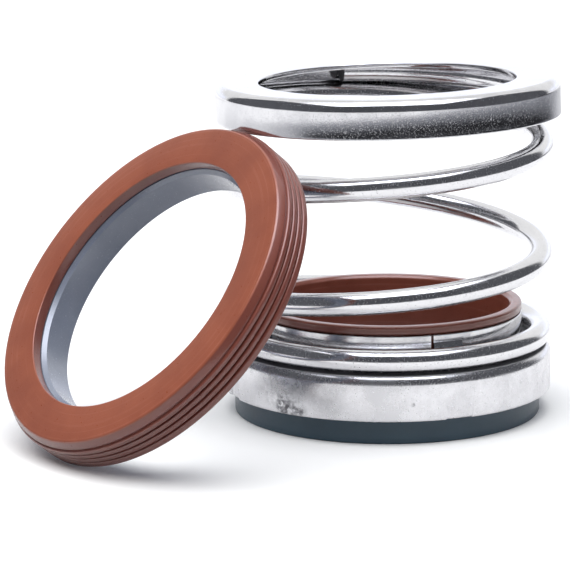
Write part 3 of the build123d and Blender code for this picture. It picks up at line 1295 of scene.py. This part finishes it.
@dataclass
class StationarySeat:
    """Face ring in a ribbed rubber cup, leaning on the holder with its rim on the floor."""

    head: Head
    holder: SpringHolder
    bore_radius: float = 25.5
    ring_radius: float = 31.5
    ring_length: float = 6.45
    ring_chamfer: float = 0.7
    ring_edge: float = 0.4
    ring_bore_edge: float = 0.1
    cup_radius: float = 34.97
    cup_length: float = 7.33
    cup_bore_radius: float = 26.25
    cup_web: float = 2.22
    cup_corner: float = 0.35
    cup_edge: float = 0.3
    cup_bore_edge: float = 0.2
    cup_taper: float = 0.8
    land_step: float = 0.35
    groove_count: int = 4
    groove_first: float = 1.8
    groove_pitch: float = 1.35
    groove_width: float = 0.4
    groove_depth: float = 0.6
    rib_round: float = 0.3
    mouth_round: float = 0.35
    azimuth: float = 217.96
    side_shift: float = -1.55
    touch_depth: float = 2.79
    rest_gap: float = 0.05
    steps: int = 320

    @property
    def place(self) -> Matrix:
        """Work out where the seat leans, its rim on the floor and its side by the holder.

        Returns:
            Where the middle of the seat's back face lies, with the seat's axis as Z.
        """
        holder = self.holder
        tilt = math.radians(holder.tilt)
        away = math.cos(math.radians(self.azimuth))
        drop = holder.skirt * math.cos(tilt) - holder.radius * away * math.sin(tilt)
        touch_height = self.head.free_length - drop
        reach = holder.radius * (1 - away**2 * (1 - math.cos(tilt)))
        touch_radius = reach + holder.skirt * math.sin(tilt) * away
        rest = self.cup_length - self.touch_depth
        across = 2 * self.cup_radius
        rise = math.atan2(rest, across) + math.acos(touch_height / math.hypot(rest, across))
        centre_height = self.cup_radius * math.cos(rise) + self.cup_length * math.sin(rise)
        distance = (
            touch_radius
            + self.cup_radius * math.sin(rise)
            + self.touch_depth * math.cos(rise)
            + self.rest_gap / math.sin(rise)
        )
        return (
            Matrix.Translation((0, 0, centre_height))
            @ Matrix.Rotation(math.radians(self.azimuth), 4, "Z")
            @ Matrix.Translation((distance, self.side_shift, 0))
            @ Matrix.Rotation(math.radians(90) - rise, 4, "Y")
        )

    def build(self) -> list[Object]:
        """Make the ring and its cup."""
        return [self.build_ring(), self.build_cup()]

    def build_ring(self) -> Object:
        """Turn the stationary face ring.

        Returns:
            The ring.
        """
        back = -self.cup_web - self.head.gap
        front = back - self.ring_length
        ring = turned(
            [
                (self.bore_radius, front, self.ring_bore_edge),
                (self.ring_radius - self.ring_edge, front, 0),
                (self.ring_radius, front + self.ring_edge, 0),
                (self.ring_radius, back, 0),
                (self.bore_radius + self.ring_chamfer, back, 0),
                (self.bore_radius, back - self.ring_chamfer, 0),
            ],
            steps=self.steps,
        )
        piece = Piece("seat_insert", "seat_ceramic", SEAT_CERAMIC, "seat_ring")
        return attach(piece.make(ring, self.place), "holder")

    def build_cup(self) -> Object:
        """Turn the cup with its ribs.

        Returns:
            The cup.
        """
        pocket = self.ring_radius + self.head.gap
        land = self.cup_radius - self.land_step
        root = self.cup_radius - self.groove_depth
        half = self.groove_width / 2
        side: list[Corner] = [(land - self.cup_taper, 0, self.cup_corner)]
        for i in range(self.groove_count):
            middle = -self.groove_first - self.groove_pitch * i
            crest = land if i == 0 else self.cup_radius
            side += [
                (crest, middle + half, self.rib_round),
                (root, middle + half / 2, 0),
                (root, middle - half / 2, 0),
                (self.cup_radius, middle - half, self.rib_round),
            ]
        cup = turned(
            [
                (self.cup_bore_radius, 0, self.cup_bore_edge),
                *side,
                (self.cup_radius, -self.cup_length, self.cup_edge),
                (pocket, -self.cup_length, self.cup_bore_edge),
                (pocket, -self.cup_web, 0),
                (self.cup_bore_radius, -self.cup_web, self.mouth_round),
            ],
            steps=self.steps,
        )
        piece = Piece("seat_rubber", "elastomer", SEAT_RUBBER, "seat_cup")
        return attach(piece.make(cup, self.place), "holder")


@dataclass
class Washer:
    """Flat washer under the retainer's shoulder, whose own mesh is kept."""

    mesh: Object

    def dress(self) -> None:
        """Give the washer its finish."""
        self.mesh.data.materials.clear()
        self.mesh.data.materials.append(BAND_STEEL.material("disc", Matrix.Identity(4)))
        log.info("%s: %d faces", self.mesh.name, len(self.mesh.data.polygons))


# ---------------------------------------------------------------------------------------------
# The studio
# ---------------------------------------------------------------------------------------------


@dataclass
class Camera:
    """Long lens in front of the seal, a little above it, its angles in radians."""

    place: Triple = (0.0, -540.476, 133.555)
    pitch: float = 0.198959898
    yaw: float = -0.0371177
    roll: float = -0.00670182
    lens: float = 176.84
    film: float = 36.0
    clip: Span = (0.01, 20.0)

    def build(self) -> Object:
        """Aim the camera and make it the scene's own.

        Returns:
            The camera.
        """
        data = bpy.data.cameras.new("camera")
        data.lens = self.lens
        data.sensor_width = self.film
        data.sensor_fit = "HORIZONTAL"
        data.clip_start, data.clip_end = self.clip
        camera = bpy.data.objects.new("camera", data)
        turn = (
            Matrix.Rotation(-self.yaw, 4, "Z")
            @ Matrix.Rotation(math.pi / 2 - self.pitch, 4, "X")
            @ Matrix.Rotation(self.roll, 4, "Z")
        )
        camera.matrix_world = Matrix.Translation(Vector(self.place) * MM) @ turn
        bpy.context.scene.collection.objects.link(camera)
        bpy.context.scene.camera = camera
        return camera


@dataclass(frozen=True)
class Card:
    """A card that metal and gloss mirror and the camera doesn't see: a dark flag or a pale bounce.

    It has a centre, a width and height, turns about X and then Z, a level of light, soft edges and
    a tint. A hole leaves it clear round the seal's axis up to its first radius, and whole from its
    second one on. Diffuse light meets a card that shades, and passes through the others.
    """

    name: str
    centre: Triple
    size: Span
    turn: Span
    level: float
    soft: float = 150.0
    hole: Span = (0.0, 0.0)
    shades: bool = False
    tint: Colour = (0.94, 0.97, 1.08)

    @property
    def place(self) -> Matrix:
        """Where the card stands in millimetres, turned about X and then about Z."""
        return (
            Matrix.Translation(self.centre)
            @ Matrix.Rotation(math.radians(self.turn[1]), 4, "Z")
            @ Matrix.Rotation(math.radians(self.turn[0]), 4, "X")
        )

    def build(self) -> Object:
        """Stand the card up, out of the camera's sight.

        Returns:
            The card.
        """
        bm = bmesh.new()
        bmesh.ops.create_grid(bm, x_segments=1, y_segments=1, size=0.5)
        bmesh.ops.scale(bm, vec=(self.size[0] * MM, self.size[1] * MM, 1), verts=bm.verts)
        card = plain_object(bm, self.name)
        card.matrix_world = Matrix.Scale(MM, 4) @ self.place @ Matrix.Scale(1 / MM, 4)
        card.visible_camera = False
        card.visible_diffuse = self.shades
        card.visible_shadow = False
        card.visible_transmission = False
        card.data.materials.append(self.material())
        return card

    def material(self) -> Material:
        """Make even light that fades out towards the card's edges and its hole.

        Returns:
            The material.
        """
        look = Shading(self.name)
        shares = []
        for axis, size in zip(("X", "Y"), self.size):
            inside = look.maths("SUBTRACT", size * MM / 2, look.maths("ABSOLUTE", look.part(axis)))
            shares.append(look.level(inside, (0.0, self.soft * MM), (0.0, 1.0)))
        share = look.maths("MULTIPLY", *shares)
        inner, outer = self.hole
        if outer > 0:
            seal = self.place.inverted() @ Vector((0, 0, self.centre[2]))
            outside = look.level(look.near(tuple(seal), outer), (0.0, 1 - inner / outer), (1.0, 0.0))
            share = look.maths("MULTIPLY", share, outside)
        light = look.node("Emission", {"Strength": self.level, "Color": self.tint}).outputs["Emission"]
        clear = look.node("BsdfTransparent", {}).outputs["BSDF"]
        look.material.cycles.emission_sampling = "NONE"
        return look.surface(look.node("MixShader", {"Fac": share, 1: clear, 2: light}).outputs["Shader"])


@dataclass(frozen=True)
class Lamp:
    """A broad, far light that no metal mirrors."""

    name: str
    source: Triple
    energy: float
    angle: float
    colour: Colour = (1.0, 0.985, 0.95)

    def build(self) -> Object:
        """Hang the lamp.

        Returns:
            The lamp.
        """
        data = bpy.data.lights.new(self.name, "SUN")
        data.energy = self.energy
        data.color = self.colour
        data.angle = math.radians(self.angle)
        lamp = bpy.data.objects.new(self.name, data)
        lamp.matrix_world = Vector(self.source).to_track_quat("Z", "Y").to_matrix().to_4x4()
        lamp.visible_glossy = False
        bpy.context.scene.collection.objects.link(lamp)
        return lamp


@dataclass
class Studio:
    """White floor under a soft sky, with a broad lamp and cards round the seal."""

    floor_size: float = 6000.0
    floor_seen: Colour = (0.97, 0.985, 1.0)
    floor_mirrored: Colour = (0.88, 0.885, 0.90)
    floor_bounce: Colour = (0.42, 0.425, 0.44)
    sky_colour: Colour = (0.95, 0.97, 1.06)
    sky: float = 0.52
    lamps: tuple[Lamp, ...] = (Lamp("key", (-0.10, -0.20, 0.975), 3.2, 70),)
    cards: tuple[Card, ...] = (
        Card("front_flag", (0, -1000, 775), (2400, 1950), (90, 0), 0.10, shades=True),
        Card("right_flag", (1000, -140, 775), (2130, 1950), (90, 90), 0.11),
        Card("left_flag", (-1000, -140, 775), (2130, 1950), (90, 90), 0.12),
        Card("floor_shade", (353, -421, 1), (2400, 3600), (0, -50), 0.35, 700, hole=(415, 465)),
        Card("floor_flag", (514, -613, 2), (1900, 2600), (0, -50), 0.02, hole=(450, 700)),
        Card("overhead_bounce", (0, -150, 1300), (1500, 1100), (0, 0), 7.0, 300),
        Card("back_flag", (0, 900, 900), (2400, 700), (45, 0), 0.5, 250),
        Card("back_bounce", (0, 1500, 240), (3200, 620), (90, 0), 1.3, 250),
    )

    def build(self) -> None:
        """Lay the floor, paint the sky, hang the lamps and stand the cards up."""
        self.lay_floor()
        self.paint_sky()
        for part in (*self.lamps, *self.cards):
            part.build()

    def lay_floor(self) -> Object:
        """Lay the floor, white where it is seen and duller where it is mirrored or lights the seal.

        Returns:
            The floor.
        """
        bm = bmesh.new()
        bmesh.ops.create_grid(bm, x_segments=1, y_segments=1, size=self.floor_size * MM / 2)
        floor = plain_object(bm, "studio_floor")
        look = Shading("studio_floor")
        path = look.node("LightPath", {}).outputs
        colour = look.mix(path["Is Diffuse Ray"], self.floor_mirrored, self.floor_bounce)
        colour = look.mix(path["Is Camera Ray"], colour, self.floor_seen)
        floor.data.materials.append(look.surface(look.node("BsdfDiffuse", {"Color": colour}).outputs["BSDF"]))
        return floor

    def paint_sky(self) -> None:
        """Paint the sky: white where it is seen or mirrored, and a soft level where it lights."""
        world = bpy.data.worlds.new("studio_sky")
        bpy.context.scene.world = world
        world.use_nodes = True
        wiring = Wiring(world.node_tree)
        lights = wiring.node("LightPath", {}).outputs["Is Diffuse Ray"]
        sky = wiring.nodes["Background"].inputs
        wiring.feed(sky["Strength"], wiring.level(lights, (0.0, 1.0), (1.0, self.sky)))
        wiring.feed(sky["Color"], wiring.mix(lights, (1.0, 1.0, 1.0), self.sky_colour))


def main() -> None:
    """Dress the frame, light it and aim the camera."""
    logging.basicConfig(level=logging.INFO, format="%(name)s: %(message)s")
    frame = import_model()
    bpy.context.scene.view_settings.view_transform = "Standard"
    Camera().build()
    Studio().build()
    head = Head()
    holder = SpringHolder(head)
    holder.build()
    Coil(head, holder).build()
    Retainer(head).build()
    DriveBand(head).build()
    PrimaryRing(head).build()
    Bellows(head).build()
    StationarySeat(head, holder).build()
    Washer(frame["nodes"]["disc"]).dress()


if __name__ == "__main__":
    main()
